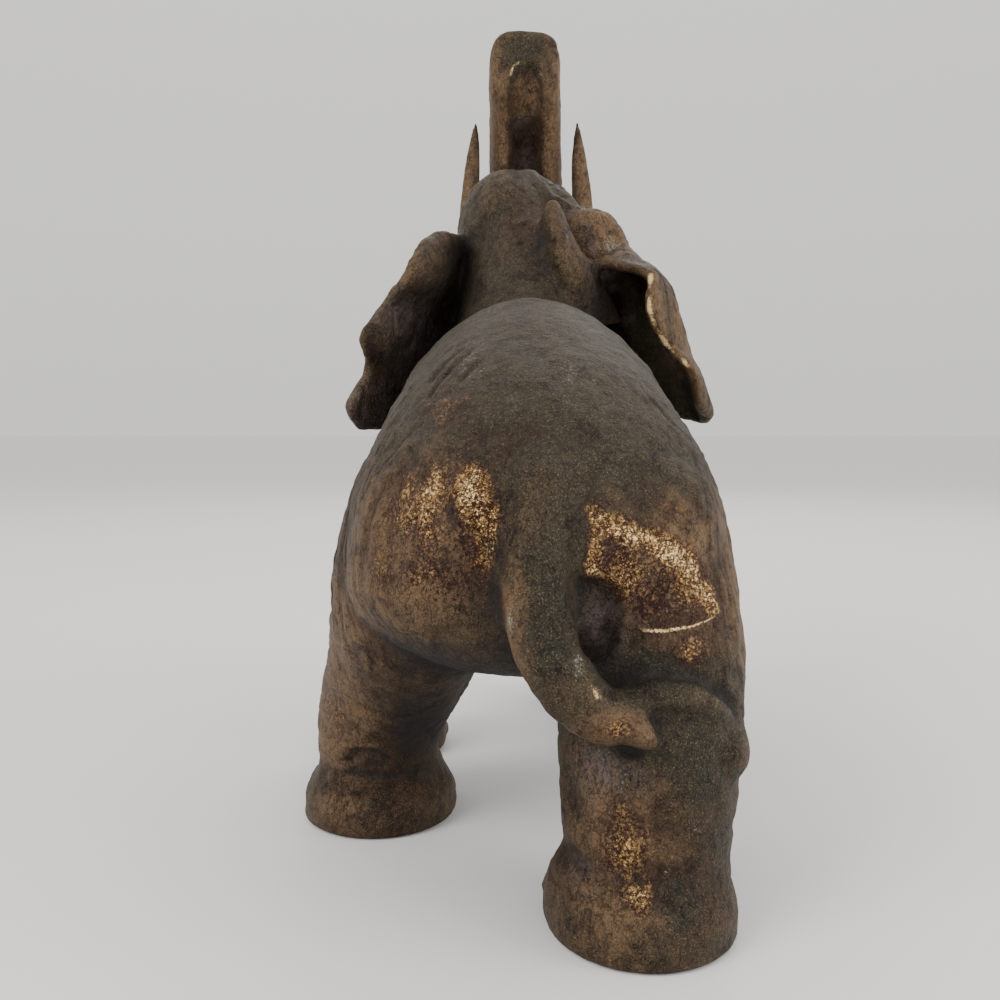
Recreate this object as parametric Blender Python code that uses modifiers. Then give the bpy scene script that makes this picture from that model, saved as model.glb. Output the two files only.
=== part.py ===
"""Bronze elephant, 135 mm to the top of its raised trunk, cast in one piece.

The figure walks towards -Y with its left hind foot forward, its head thrown back and its trunk
curled over the forehead. Each mass of the body is a loft or an ellipsoid with its own sizes.
A voxel remesh casts the masses into one skin and smoothing melts the joins between them, as wax
modelling does. Cutters then flatten the soles and hollow the end of the trunk. Sizes are in
millimetres until MM turns them into metres. The elephant's left is +X.
"""

import math

import bmesh
import bpy
import numpy as np
from mathutils import Matrix, Vector

MM = 0.001
NAME = "bronze_elephant"

RING_POINTS = 36
SPAN_STEPS = 5

VOXEL = 0.7
SMOOTHING_ROUNDS = 5
TRIANGLES = 8800

SOLE_OVERRUN = 3.0
EAR_THICKNESS = 2.3

# The channel up the back of the trunk: z, half width, depth.
CHANNEL = [
    (98.0, 2.8, 0.0),
    (104.0, 3.0, 5.4),
    (118.0, 3.0, 5.4),
    (123.0, 3.2, 2.5),
    (126.0, 3.2, 1.0),
]
# The arch-headed hollow in the end of the trunk, shallow at its head: x, y, z, half width, half depth.
TRUNK_MOUTH = [
    (-0.5, -36.6, 128.6, 1.3, 0.9),
    (-0.5, -36.9, 127.2, 2.7, 1.9),
    (-0.5, -37.8, 124, 3.3, 2.5),
    (-0.5, -39.8, 120, 3.3, 3.0),
    (-0.5, -42.8, 115, 2.8, 3.2),
    (-0.5, -45.5, 110, 2.4, 3.0),
]

# The middle of the footprint, moved to the origin.
MIDDLE = (1.0, -0.55, 0.0)

BRONZE = (0.085, 0.072, 0.05, 1.0)

# Torso stations from rump to chest: y, z of the widest level, half width, height above it, depth below it.
TORSO = [
    (53.0, 43.0, 6.0, 5.5, 5.5),
    (50.5, 42.0, 14.0, 12.0, 9.5),
    (45.0, 40.0, 20.0, 21.0, 11.5),
    (35.0, 38.5, 24.2, 30.0, 12.0),
    (21.0, 37.0, 24.8, 38.0, 13.5),
    (5.0, 37.5, 25.8, 40.0, 16.0),
    (-10.0, 39.0, 25.0, 39.0, 17.0),
    (-22.0, 44.0, 23.0, 33.5, 18.0),
    (-32.0, 50.0, 18.0, 25.0, 18.5),
    (-38.0, 54.0, 12.0, 15.5, 14.0),
    (-41.0, 55.0, 5.0, 6.0, 6.0),
]

# Limb stations from the body outwards: x, y, z, half width, half depth.
LIMBS = {
    "neck": [
        (0.3, -4, 56, 15, 17),
        (0.3, -13, 71, 12.6, 16),
        (0.5, -20, 82, 10.5, 14.5),
        (0.5, -26, 91, 9.5, 12.5),
    ],
    "right_hind_leg": [
        (-9, 29, 60, 4, 6),
        (-11.6, 32, 51, 10.2, 13),
        (-12.9, 36.5, 38, 12, 13.5),
        (-13.3, 41.5, 28, 11.5, 12.2),
        (-12.9, 44.5, 20, 10.8, 11.0),
        (-12.6, 45.5, 13, 10.1, 10.4),
        (-12.4, 45.8, 8, 9.9, 10.2),
        (-11.9, 46.2, 3.5, 11.3, 11.9),
        (-11.9, 46.5, -SOLE_OVERRUN, 11.0, 11.8),
    ],
    "left_hind_leg": [
        (8, 30, 61, 4, 6),
        (12.0, 29, 51, 10.3, 13),
        (15.2, 26, 38, 11.8, 14),
        (18.2, 19, 27, 10.8, 12.5),
        (21.5, 15, 18, 9.6, 10.8),
        (22.8, 13.5, 12, 9.2, 10.2),
        (22.6, 13, 8, 9.1, 10.0),
        (22.6, 12.7, 3.5, 11.4, 11.8),
        (22.6, 12.7, -SOLE_OVERRUN, 11.2, 11.6),
    ],
    "left_front_leg": [
        (9, -17, 67, 4, 5),
        (14.5, -18, 56, 9.5, 11.5),
        (16.5, -17.5, 44, 10.2, 11.5),
        (19.5, -17, 32, 9.6, 10.5),
        (22, -16.5, 20, 8.5, 9),
        (23.4, -16.8, 10, 8.0, 8.6),
        (23.8, -17.5, 4, 9.4, 10.2),
        (23.8, -17.5, -SOLE_OVERRUN, 9.2, 10.0),
    ],
    "right_front_leg": [
        (-9, -18, 67, 4, 5),
        (-13.5, -21.5, 56, 9.5, 11.5),
        (-14.8, -26.5, 44, 10.2, 11.5),
        (-15.8, -33, 32, 9.6, 10.5),
        (-16.4, -40, 20, 8.6, 9.1),
        (-16.7, -44.5, 10, 8.2, 8.7),
        (-16.9, -46.5, 4, 9.6, 10.3),
        (-16.9, -46.5, -SOLE_OVERRUN, 9.4, 10.1),
    ],
    "lower_lip": [
        (0, -30, 80, 7.5, 6.5),
        (0, -38, 80, 6, 4.6),
        (0, -45, 83, 4, 3),
        (0, -49.5, 87.5, 1.8, 1.5),
    ],
    "left_tusk": [
        (8.8, -34, 86, 3, 3),
        (10.4, -41, 94, 2.6, 2.6),
        (10.7, -45, 104, 2.1, 2.1),
        (10.0, -46, 113, 1.6, 1.6),
        (9.3, -45.5, 121.5, 0.6, 0.6),
    ],
    "right_tusk": [
        (-9.6, -34, 86, 3, 3),
        (-11.8, -41, 94, 2.8, 2.8),
        (-12.3, -45, 104, 2.3, 2.3),
        (-11.7, -46, 113, 1.7, 1.7),
        (-11.1, -45.5, 121.5, 0.6, 0.6),
    ],
}

# Trunk stations from the face upwards: x, y, z, half width, half depth, squareness (2 is an oval).
TRUNK = [
    (0, -28, 88, 11.5, 11, 2.0),
    (0, -39, 89, 10.3, 9.5, 2.0),
    (-0.3, -47.5, 93.5, 9, 8.4, 2.2),
    (-0.6, -52, 101, 8.2, 7.8, 2.5),
    (-0.8, -52.5, 110, 7.7, 7.6, 2.9),
    (-0.8, -49.5, 119, 7.4, 7.7, 3.2),
    (-0.6, -44.8, 125.5, 7.2, 7.6, 3.4),
    (-0.5, -40.5, 128.6, 7.0, 7.1, 3.6),
    (-0.5, -37.5, 129, 6.5, 6.3, 3.6),
]

# Tail stations, swung in the plane that faces the rear: x, y, z, half width, half depth.
TAIL = [
    (-0.4, 40, 57, 4.0, 4.6),
    (-0.2, 48.5, 52, 4.0, 4.2),
    (0.6, 52.5, 46, 3.9, 3.9),
    (0.9, 54.3, 40.8, 3.8, 3.8),
    (0.2, 55, 35.9, 3.8, 3.7),
    (-1.8, 55.5, 31.3, 3.7, 3.6),
    (-5.0, 55.6, 27.9, 3.5, 3.4),
    (-8.7, 54.8, 26.3, 3.0, 3.1),
]

# Ellipsoids that fill out the masses: centre x, y, z and radii x, y, z.
MASSES = {
    "left_dome": ((3.4, -25, 91.5), (9.4, 13, 13.6)),
    "right_dome": ((-4.6, -28, 92.5), (8.4, 12.5, 13.2)),
    "left_cheek": ((6.5, -32, 86), (6, 9, 8)),
    "right_cheek": ((-6.5, -32, 86), (6, 9, 8)),
    "right_rump": ((-11.5, 38, 44), (11.2, 13.5, 13.5)),
    "left_rump": ((11.5, 36, 44), (11.2, 13.5, 13.5)),
    "chest": ((0, -30, 54), (13, 12, 16)),
    "right_ear_lobe": ((-11, -15, 88), (7.3, 4.5, 8.3)),
}

# Ear stations from the top down: points on the neck, in the hollow, on the side bulge and on the back rim.
LEFT_EAR = [
    [(9, -16, 90.5), (11.5, -19, 92), (13.5, -11, 91.4), (17.2, -6.5, 89)],
    [(6.5, -13, 88), (11.5, -20.5, 87.5), (14.6, -6, 87.4), (19.1, -1.2, 85.2)],
    [(6.5, -12, 83), (12, -21, 83), (15.6, -4.5, 82.6), (20.5, 0.4, 81)],
    [(7, -12, 79), (12.8, -21, 79), (18.2, -7.5, 78.6), (23.5, -2.2, 77.9)],
    [(8, -12.5, 75), (14, -20.5, 75), (21, -5, 74.6), (26.4, 0.8, 73.9)],
    [(9, -13, 72), (14.8, -20.5, 71.5), (22, -5, 71), (27, 0.4, 70.4)],
    [(9.5, -14.5, 69.5), (15.5, -21, 68.8), (21.8, -9, 68), (26.6, -3.2, 67.6)],
    [(10.5, -18, 66), (16, -21, 65), (23.8, -7, 64), (28.7, -1.4, 63.2)],
    [(11.5, -20.5, 63.5), (17, -20.5, 62), (25, -8.5, 60.4), (29.9, -3.2, 59.6)],
    [(12, -22, 61.5), (18, -20, 60), (25, -11, 58), (28.4, -6.5, 57.2)],
]
RIGHT_EAR = [
    [(-8, -24, 89), (-14, -18, 90), (-16.6, -12, 88.5), (-11, -7, 85)],
    [(-9, -24, 86), (-14.5, -18, 87), (-19, -10, 85.5), (-15.5, -3.5, 83.8)],
    [(-10, -24, 81.5), (-16, -18, 82.5), (-22.4, -8, 82), (-19.4, -0.5, 82)],
    [(-10, -24, 77.5), (-16.5, -18, 78), (-24.6, -8, 77.5), (-18.8, 1.8, 77)],
    [(-10.5, -24.5, 73.5), (-17, -18, 74), (-25.8, -8.5, 73.3), (-20.2, 0.6, 73.6)],
    [(-11, -25, 70), (-18, -19, 70), (-26.8, -9, 69.8), (-22.8, -0.8, 70.6)],
    [(-11, -26, 67), (-18.5, -19.5, 66.5), (-28, -9.5, 66), (-25.8, 1.4, 67.4)],
    [(-11, -26.5, 65), (-19.5, -20, 63), (-29.6, -10.5, 62.4), (-27.2, -0.8, 64)],
    [(-11, -27, 64), (-20, -20, 61), (-31.4, -12, 58.6), (-28, -4, 60.4)],
]
# The skin between the neck and the right ear, drawn up to a point behind the head.
RIGHT_EAR_FOLD = [
    [(-3.6, -9, 95.4), (-4.1, -5.6, 95), (-5, -7, 94)],
    [(-2.8, -11, 89), (-4.6, -2.3, 89), (-7.6, -7, 88)],
    [(-2.8, -11, 84), (-5.6, -1.4, 84), (-11, -9, 84)],
    [(-3.4, -10, 79), (-7.4, -3.6, 79.5), (-14.5, -13, 80)],
    [(-6, -9, 74), (-10.5, -9, 74.5), (-17, -15.5, 76)],
]


def clear_scene():
    for old in list(bpy.data.objects):
        bpy.data.objects.remove(old)


def new_collection(name):
    group = bpy.data.collections.new(name)
    bpy.context.scene.collection.children.link(group)
    return group


def new_object(name, mesh, group):
    made = bpy.data.objects.new(name, mesh)
    group.objects.link(made)
    return made


def spline(stations):
    """Rows of a Catmull-Rom spline through the stations."""
    rows = np.array(stations, float)
    rows = np.vstack([2 * rows[0] - rows[1], rows, 2 * rows[-1] - rows[-2]])
    smooth = []
    for a, b, c, d in zip(rows, rows[1:], rows[2:], rows[3:]):
        for t in np.arange(SPAN_STEPS) / SPAN_STEPS:
            smooth.append(
                b
                + 0.5 * t * (c - a)
                + t * t * (a - 2.5 * b + 2 * c - 0.5 * d)
                + t**3 * (1.5 * (b - c) + 0.5 * (d - a))
            )
    return np.array(smooth + [rows[-2]])


def loft(bm, rings):
    """Adds a closed skin over rings of equal count, capped flat at both ends."""
    loops = [[bm.verts.new(Vector(point) * MM) for point in ring] for ring in rings]
    for lower, upper in zip(loops, loops[1:]):
        for i in range(len(lower)):
            j = (i + 1) % len(lower)
            bm.faces.new((lower[i], lower[j], upper[j], upper[i]))
    bm.faces.new(reversed(loops[0]))
    bm.faces.new(loops[-1])


def torso(bm):
    angles = np.linspace(0, math.tau, RING_POINTS, endpoint=False)
    across, along = np.cos(angles), np.sin(angles)
    rings = []
    for y, z, half_width, above, below in spline(TORSO):
        height = np.where(along > 0, above, below) * along
        rings.append(np.column_stack([half_width * across, np.full(RING_POINTS, y), z + height]))
    loft(bm, rings)


def rounded(wave, squareness):
    """Swells a sine or cosine so that the oval it draws fills the corners of its box."""
    return np.sign(wave) * np.abs(wave) ** (2 / squareness)


def rings_along(stations, side):
    """Rings square to the path of the stations; half widths lie along the side direction."""
    angles = np.linspace(0, math.tau, RING_POINTS, endpoint=False)
    rows = spline(stations)
    tangents = np.gradient(rows[:, :3], axis=0)
    rings = []
    for row, tangent in zip(rows, tangents):
        tangent = tangent / np.linalg.norm(tangent)
        front = np.cross(tangent, side)
        front /= np.linalg.norm(front)
        across = np.cross(front, tangent)
        squareness = row[5] if len(row) > 5 else 2
        rings.append(
            row[:3]
            + np.outer(row[3] * rounded(np.cos(angles), squareness), across)
            + np.outer(row[4] * rounded(np.sin(angles), squareness), front)
        )
    return rings


def limb(bm, stations, side=(1, 0, 0)):
    loft(bm, rings_along(stations, side))


def trunk(bm):
    """Adds the trunk, with its channel pressed into the side that faces the rump."""
    rings = rings_along(TRUNK, (1, 0, 0))
    heights, half_widths, depths = np.transpose(CHANNEL)
    for ring in rings:
        middle = ring.mean(axis=0)
        half_width = np.interp(ring[:, 2], heights, half_widths)
        depth = np.interp(ring[:, 2], heights, depths)
        rear = np.clip((ring[:, 1] - middle[1]) / 2, 0, 1)
        inside = np.exp(-(((ring[:, 0] - middle[0]) / half_width) ** 4))
        ring[:, 1] -= depth * rear * inside
    loft(bm, rings)


def ellipsoid(bm, centre, radii):
    place = Matrix.Translation(Vector(centre) * MM) @ Matrix.Diagonal([*(r * MM for r in radii), 1])
    bmesh.ops.create_uvsphere(bm, u_segments=24, v_segments=16, radius=1, matrix=place)


def ear(bm, stations):
    """Adds an ear: a waved sheet through the stations, thickened evenly into a closed skin."""
    points = len(stations[0])
    rows = spline([np.ravel(station) for station in stations])
    sheet = bmesh.new()
    grid = [
        [sheet.verts.new(Vector(p) * MM) for p in spline(row.reshape(points, 3))] for row in rows
    ]
    for upper, lower in zip(grid, grid[1:]):
        for i in range(len(upper) - 1):
            sheet.faces.new((upper[i], upper[i + 1], lower[i + 1], lower[i]))
    sheet.normal_update()
    for vert in sheet.verts:
        vert.co += vert.normal * EAR_THICKNESS * MM / 2
    bmesh.ops.solidify(sheet, geom=sheet.faces[:], thickness=EAR_THICKNESS * MM)
    bmesh.ops.recalc_face_normals(sheet, faces=sheet.faces[:])
    mesh = bpy.data.meshes.new("ear")
    sheet.to_mesh(mesh)
    sheet.free()
    bm.from_mesh(mesh)
    bpy.data.meshes.remove(mesh)


def bronze():
    made = bpy.data.materials.new("bronze")
    made.use_nodes = True
    shader = made.node_tree.nodes["Principled BSDF"]
    shader.inputs["Base Color"].default_value = BRONZE
    shader.inputs["Metallic"].default_value = 1.0
    shader.inputs["Roughness"].default_value = 0.45
    return made


def cutter(name, bm, group):
    mesh = bpy.data.meshes.new(name)
    bm.to_mesh(mesh)
    bm.free()
    made = new_object(name, mesh, group)
    made.hide_render = True
    made.display_type = "WIRE"
    return made


def ground_block(group):
    """The cutter that takes everything below the ground off, so that the soles are flat."""
    bm = bmesh.new()
    size = 300 * MM
    bmesh.ops.create_cube(bm, size=size, matrix=Matrix.Translation((0, 0, -size / 2)))
    return cutter("ground_block", bm, group)


def trunk_mouth(group):
    """The cutter that hollows the end of the trunk."""
    bm = bmesh.new()
    limb(bm, TRUNK_MOUTH)
    bmesh.ops.translate(bm, verts=bm.verts, vec=Vector(MIDDLE) * -MM)
    bmesh.ops.recalc_face_normals(bm, faces=bm.faces[:])
    return cutter("trunk_mouth", bm, group)


def masses():
    """Every mass of the figure as overlapping closed skins in one mesh."""
    bm = bmesh.new()
    torso(bm)
    for stations in LIMBS.values():
        limb(bm, stations)
    trunk(bm)
    limb(bm, TAIL, side=(0, 1, 0))
    for centre, radii in MASSES.values():
        ellipsoid(bm, centre, radii)
    for stations in (LEFT_EAR, RIGHT_EAR, RIGHT_EAR_FOLD):
        ear(bm, stations)
    bmesh.ops.translate(bm, verts=bm.verts, vec=Vector(MIDDLE) * -MM)
    bmesh.ops.recalc_face_normals(bm, faces=bm.faces[:])
    mesh = bpy.data.meshes.new(NAME)
    bm.to_mesh(mesh)
    bm.free()
    return mesh


def cast(figure, cutters):
    """The modifiers that turn the loose masses into one casting."""
    skin = figure.modifiers.new("one_skin", "REMESH")
    skin.mode = "VOXEL"
    skin.voxel_size = VOXEL * MM
    melt = figure.modifiers.new("melt_joins", "SMOOTH")
    melt.factor = 0.5
    melt.iterations = SMOOTHING_ROUNDS
    facets = figure.modifiers.new("facets", "DECIMATE")
    facets.ratio = 1.0
    for block in cutters:
        cut = figure.modifiers.new(block.name, "BOOLEAN")
        cut.operation = "DIFFERENCE"
        cut.object = block
    return facets


def count_triangles(obj):
    graph = bpy.context.evaluated_depsgraph_get()
    mesh = obj.evaluated_get(graph).to_mesh()
    mesh.calc_loop_triangles()
    return len(mesh.loop_triangles)


def main():
    clear_scene()
    figure = new_object(NAME, masses(), new_collection("elephant"))
    figure.data.materials.append(bronze())
    cutters = new_collection("cutters")
    facets = cast(figure, [ground_block(cutters), trunk_mouth(cutters)])
    bpy.context.view_layer.update()
    facets.ratio = TRIANGLES / count_triangles(figure)


main()
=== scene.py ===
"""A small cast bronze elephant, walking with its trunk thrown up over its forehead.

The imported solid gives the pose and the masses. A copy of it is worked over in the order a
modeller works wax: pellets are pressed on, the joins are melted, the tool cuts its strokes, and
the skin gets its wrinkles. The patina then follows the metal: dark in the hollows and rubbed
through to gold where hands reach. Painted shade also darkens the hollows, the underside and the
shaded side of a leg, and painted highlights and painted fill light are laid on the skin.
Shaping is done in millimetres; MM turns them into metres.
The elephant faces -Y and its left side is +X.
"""

import math

import bpy
import numpy as np
from bpy.props import FloatProperty, FloatVectorProperty, IntProperty, PointerProperty
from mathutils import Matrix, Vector


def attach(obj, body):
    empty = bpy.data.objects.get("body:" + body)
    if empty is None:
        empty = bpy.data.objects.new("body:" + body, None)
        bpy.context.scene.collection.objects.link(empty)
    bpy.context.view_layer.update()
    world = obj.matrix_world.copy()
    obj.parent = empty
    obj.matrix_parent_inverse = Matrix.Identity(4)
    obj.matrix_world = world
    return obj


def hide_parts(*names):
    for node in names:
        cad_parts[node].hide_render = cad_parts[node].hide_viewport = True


bl_info = {
    "name": "Bronze Elephant",
    "version": (1, 0, 0),
    "blender": (4, 5, 0),
    "location": "View3D > Sidebar > Elephant",
    "description": "Models and patinates a small cast bronze elephant",
    "category": "Object",
}

MM = 0.001
NODE = "bronze_elephant"
CASTING = "elephant_casting"

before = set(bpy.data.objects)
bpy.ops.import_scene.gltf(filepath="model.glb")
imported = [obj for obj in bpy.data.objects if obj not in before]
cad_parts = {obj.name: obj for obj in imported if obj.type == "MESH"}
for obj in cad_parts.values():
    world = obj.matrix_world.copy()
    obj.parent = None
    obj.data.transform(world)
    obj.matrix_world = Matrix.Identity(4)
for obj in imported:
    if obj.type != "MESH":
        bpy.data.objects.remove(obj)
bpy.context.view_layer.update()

# How often the skin is smoothed once the masses are joined, and again once the eyes are in.
JOIN_ROUNDS = 14
LID_ROUNDS = 3

# Soles: middle of each foot on the ground, and its radius.
FEET = {
    "left_hind": ((21.6, 13.2), 11.5),
    "right_hind": ((-12.9, 46.1), 11.5),
    "left_front": ((22.8, -16.9), 9.8),
    "right_front": ((-17.9, -46.0), 9.9),
}
# Middle line of the trunk from the face to the tip.
TRUNK_LINE = [
    (-1, -38, 89),
    (-1.3, -47, 93.5),
    (-1.6, -51.5, 101),
    (-1.8, -52, 110),
    (-1.8, -49, 119),
    (-1.6, -44.3, 125.5),
    (-1.5, -39, 129),
]
# Middle line of the tail from the rump to the tip.
TAIL_LINE = [
    (-1.2, 49, 52),
    (-0.4, 53, 46),
    (-0.1, 54.8, 40.8),
    (-0.8, 55.5, 35.9),
    (-2.8, 56, 31.3),
    (-6, 56.1, 27.9),
    (-9.7, 55.3, 26.3),
]
# Middle lines of the left and the right tusk.
TUSK_LINES = [
    [(7.8, -33.5, 86), (9.4, -40.5, 94), (9.7, -44.5, 104), (9, -45.5, 113), (8.3, -45, 121.5)],
    [
        (-10.6, -33.5, 86),
        (-12.8, -40.5, 94),
        (-13.3, -44.5, 104),
        (-12.7, -45.5, 113),
        (-12.1, -45, 121.5),
    ],
]
EYES = {"left": (9.3, -33.5, 94.5), "right": (-12.1, -33.5, 95)}

# Wax pressed on before the joins are melted: centre and radii of each pellet.
PELLETS = {
    "left_brow": ((8.6, -34, 97.8), (2.2, 4.2, 1.5)),
    "right_brow": ((-11.0, -34, 98.3), (2.2, 4.2, 1.5)),
    "left_socket": ((9.2, -39.5, 90.5), (3.4, 3.8, 4.0)),
    "right_socket": ((-12.2, -39.5, 90.5), (3.6, 3.8, 4.0)),
    "crown": ((-1.6, -27, 98.2), (6.0, 10.0, 7.4)),
    "tail_end": ((-10.4, 56.5, 26.8), (1.8, 1.4, 1.8)),
    "right_hock": ((-21.8, 47.5, 21.5), (3.2, 5.5, 4.0)),
    "right_knee": ((-16.8, -42.8, 22), (7.2, 7.0, 6.0)),
    "left_knee": ((20.8, -20.5, 22), (7.2, 6.0, 6.0)),
    "left_shoulder": ((15.0, -17, 54), (8.4, 9.0, 12.0)),
    "right_shoulder": ((-15.5, -19, 54), (8.4, 9.0, 12.0)),
}
# Rolls of wax laid along the surface: path and radius.
ROLLS = {
    "hock_fold": (
        [
            (-9.5, 54.0, 27.6),
            (-12.5, 54.3, 28.9),
            (-16, 53.8, 28.8),
            (-19.5, 52.3, 27.4),
            (-22.6, 49.4, 24.4),
        ],
        2.1,
    ),
    "rump_lip": (
        [
            (-10.8, 51.2, 35.0),
            (-13.4, 51.4, 34.6),
            (-16.6, 51.1, 34.7),
            (-19, 50.0, 35.4),
            (-20.9, 48.4, 36.4),
        ],
        0.8,
    ),
    "tail_point": ([(-6.4, 56.4, 27.8), (-8.8, 56.8, 27.0), (-10.8, 56.8, 25.8), (-12.6, 56.2, 23.6)], 2.0),
}
# Strokes of the tool: path, half width, depth. A negative depth raises a ridge.
STROKES = {
    "rump_crack": (
        [(8.2, 51.3, 51.6), (8.9, 51.5, 49.2), (8.4, 51.9, 46.8), (9.0, 52.0, 44.6), (9.8, 51.9, 42.4)],
        0.45,
        0.34,
    ),
    "rump_crack_branch": ([(8.9, 51.5, 49.4), (10.4, 50.9, 47.6), (10.8, 51.0, 45.6)], 0.4, 0.16),
    "flank_line_1": ([(18, 40.3, 54), (17.9, 43.3, 51), (18.6, 45.5, 47), (18.8, 45.6, 43.6)], 0.5, 0.16),
    "flank_line_2": ([(20, 37, 53), (20.2, 40.5, 49), (20.8, 42, 45)], 0.5, 0.14),
    "flank_line_3": ([(15.4, 45.6, 51), (15.7, 47, 47.5), (16.2, 47.4, 44)], 0.45, 0.14),
    "shoulder_scratch_1": (
        [(7.2, 35, 67.4), (9.1, 36, 65.5), (10.8, 37.5, 63.4), (12, 39, 61.3)],
        0.42,
        0.34,
    ),
    "shoulder_scratch_2": ([(8.6, 33, 67.6), (10.4, 34.2, 65.6), (12.2, 36, 63.4)], 0.42, 0.32),
    "shoulder_scratch_3": ([(6, 38, 66), (8, 39.5, 63.6), (9.6, 41, 61.4)], 0.42, 0.28),
    "shoulder_scratch_4": ([(10, 30, 68), (12, 32, 66), (13.8, 34, 63.6)], 0.42, 0.28),
    "rump_lip_edge": (
        [
            (-11.2, 51.8, 36.0),
            (-13.6, 52.2, 35.4),
            (-17, 52.0, 35.6),
            (-19.4, 50.9, 36.4),
            (-20.8, 49.6, 37.2),
        ],
        0.45,
        -0.25,
    ),
    "rump_lip_above": (
        [(-12, 52.1, 37.1), (-14, 52.4, 36.6), (-17, 52.1, 36.8), (-19.6, 50.8, 37.8)],
        0.6,
        0.25,
    ),
    "hock_crease": (
        [(-8.6, 53.5, 30.6), (-12, 53.8, 31.6), (-16, 53.8, 31.4), (-19.8, 52.6, 29.8), (-23, 50, 26.6)],
        1.0,
        0.9,
    ),
    "hock_curl_cut": ([(-22.8, 51.2, 21.8), (-22.2, 52.1, 20.7), (-22.9, 51, 19.4)], 0.5, 0.6),
    "right_ankle_cut": (
        [
            (-3, 45, 9.2),
            (-5, 51, 9.6),
            (-9, 55.3, 9.4),
            (-14.6, 56.6, 9.1),
            (-19.6, 54.2, 8.6),
            (-22.5, 49, 8.4),
        ],
        1.2,
        0.2,
    ),
    "left_ankle_cut": (
        [(32, 16, 9.4), (29, 21, 9.2), (24, 23.6, 9), (18, 23, 8.6), (13.5, 19, 8.4)],
        1.0,
        0.35,
    ),
    "left_heel_crease_1": (
        [(24.9, 23.5, 11.0), (23.4, 24.4, 12.4), (21, 24.8, 12.7), (19.2, 24.1, 11.6)],
        0.5,
        0.5,
    ),
    "left_heel_crease_2": ([(23.8, 23.7, 9.9), (21.6, 24.3, 10.4), (19.9, 23.7, 10.9)], 0.5, 0.35),
    "left_heel_crease_3": ([(21.6, 24.4, 11.8), (20.4, 24.4, 10.6)], 0.45, 0.25),
    "tail_under": (
        [(-3.6, 54.6, 24.6), (-7, 55.0, 22.9), (-10, 55.0, 22.6), (-12.8, 54.6, 23.0)],
        0.6,
        0.5,
    ),
    "tail_left": ([(3.0, 51.0, 49), (4.2, 52.6, 43), (4.2, 53.6, 38), (3.2, 54.0, 33.6)], 0.6, 0.35),
    "tail_drip": (
        [(-8.4, 54.4, 21.6), (-9.6, 55.1, 19.9), (-10.6, 55.6, 18.8), (-11.3, 56, 17.2)],
        0.4,
        -0.3,
    ),
    "mouth_left": ([(1, -49.3, 87), (4.5, -45.2, 85.4), (7, -40.5, 84.4), (8.6, -36, 84.6)], 0.8, 1.1),
    "mouth_right": (
        [(-3, -49.3, 87), (-6.5, -45.2, 85.4), (-9, -40.5, 84.4), (-10.8, -36, 84.6)],
        0.8,
        1.1,
    ),
}
# Dents pressed in one direction: centre, radii, push, and how far in the slope goes on, from
# 1 for a sheer side to 0 for a round bowl. The tail is spared.
DENTS = {
    "rump_hollow": ((-5.6, 52, 36.8), (4.6, 9, 5.0), (0, -1.5, 0), 0.55),
    "trunk_slot": ((-1.5, -45, 114), (2.5, 6, 7), (0, -0.4, 0), 0.75),
    "right_crown": ((-9.0, -27, 103), (6.0, 16, 6.5), (0.6, 0, -2.2), 0.0),
}
# Where the skin is curled and lumpy: centre, radii and strength.
CURLED = [
    ((-12.0, 53.0, 33.0), (7.0, 6, 4.5), 1.0),
    ((-15.0, 53.0, 27.0), (8.0, 6, 4.0), 0.5),
    ((-6.5, 52.0, 35.0), (4.5, 7, 6.5), 1.1),
    ((9.0, 51.0, 44.0), (6.0, 7, 7.0), 0.5),
    ((-10.0, 55.0, 10.0), (8.0, 6, 8.0), 0.5),
]
# Where the metal is rubbed to bright grains: centre, radii and strength.
RUBBED = [
    ((13.8, 48.5, 49.0), (2.4, 6, 6.0), 0.55),
    ((6.4, 52.0, 49.4), (2.3, 5, 5.2), 0.95),
    ((5.0, 53, 46.0), (2.0, 5, 5.4), 0.9),
    ((11.2, 50, 50.4), (2.3, 6, 4.0), 0.72),
    ((11.2, 50, 45.6), (2.6, 6, 3.8), 0.55),
    ((8.0, 48, 54.4), (3.6, 8, 2.2), 0.4),
    ((10.5, 51, 41.8), (6.0, 5, 2.6), 0.4),
    ((16.5, 48, 41.0), (4.0, 6, 4.2), 0.34),
    ((-11.0, 52, 42.0), (4.6, 5, 3.4), 0.68),
    ((-17.0, 51, 39.5), (3.0, 4, 3.0), 0.6),
    ((-17.6, 51.6, 33.6), (2.6, 4, 1.8), 0.75),
    ((-9.6, 56, 12.6), (3.4, 4, 5.4), 0.6),
    ((-11.0, 57, 8.4), (2.2, 4, 2.6), 0.6),
    ((-6.0, 57, 5.4), (2.2, 4, 2.4), 0.3),
    # Also a painted highlight on the lit outer side of the left hind leg
    ((26.5, 22.5, 20.0), (3.4, 8, 8.0), 0.36),
    ((22.0, 27.0, 25.0), (3.2, 7, 4.0), 0.36),
    ((-8.2, 58.6, 26.4), (3.0, 3, 1.6), 1.2),
    ((4.0, 56.4, 37.6), (1.0, 3, 3.6), 1.5),
    ((4.6, -42, 112), (1.8, 8, 14), 0.32),
    ((-8.0, -42, 112), (1.8, 8, 14), 0.3),
    ((12.0, 47.5, 46.0), (8.0, 7, 7.5), 0.42),
    ((1.5, 46, 55.0), (9.0, 8, 4.0), 0.4),
    ((9.0, 42, 60.0), (7.0, 9, 5.0), 0.3),
    ((-11, 48, 49.0), (8.0, 7, 4.0), 0.33),
    ((-15.5, 51, 38.0), (6.0, 6, 5.0), 0.4),
    ((-10.5, 56, 12.0), (5.0, 6, 7.0), 0.32),
]
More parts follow.
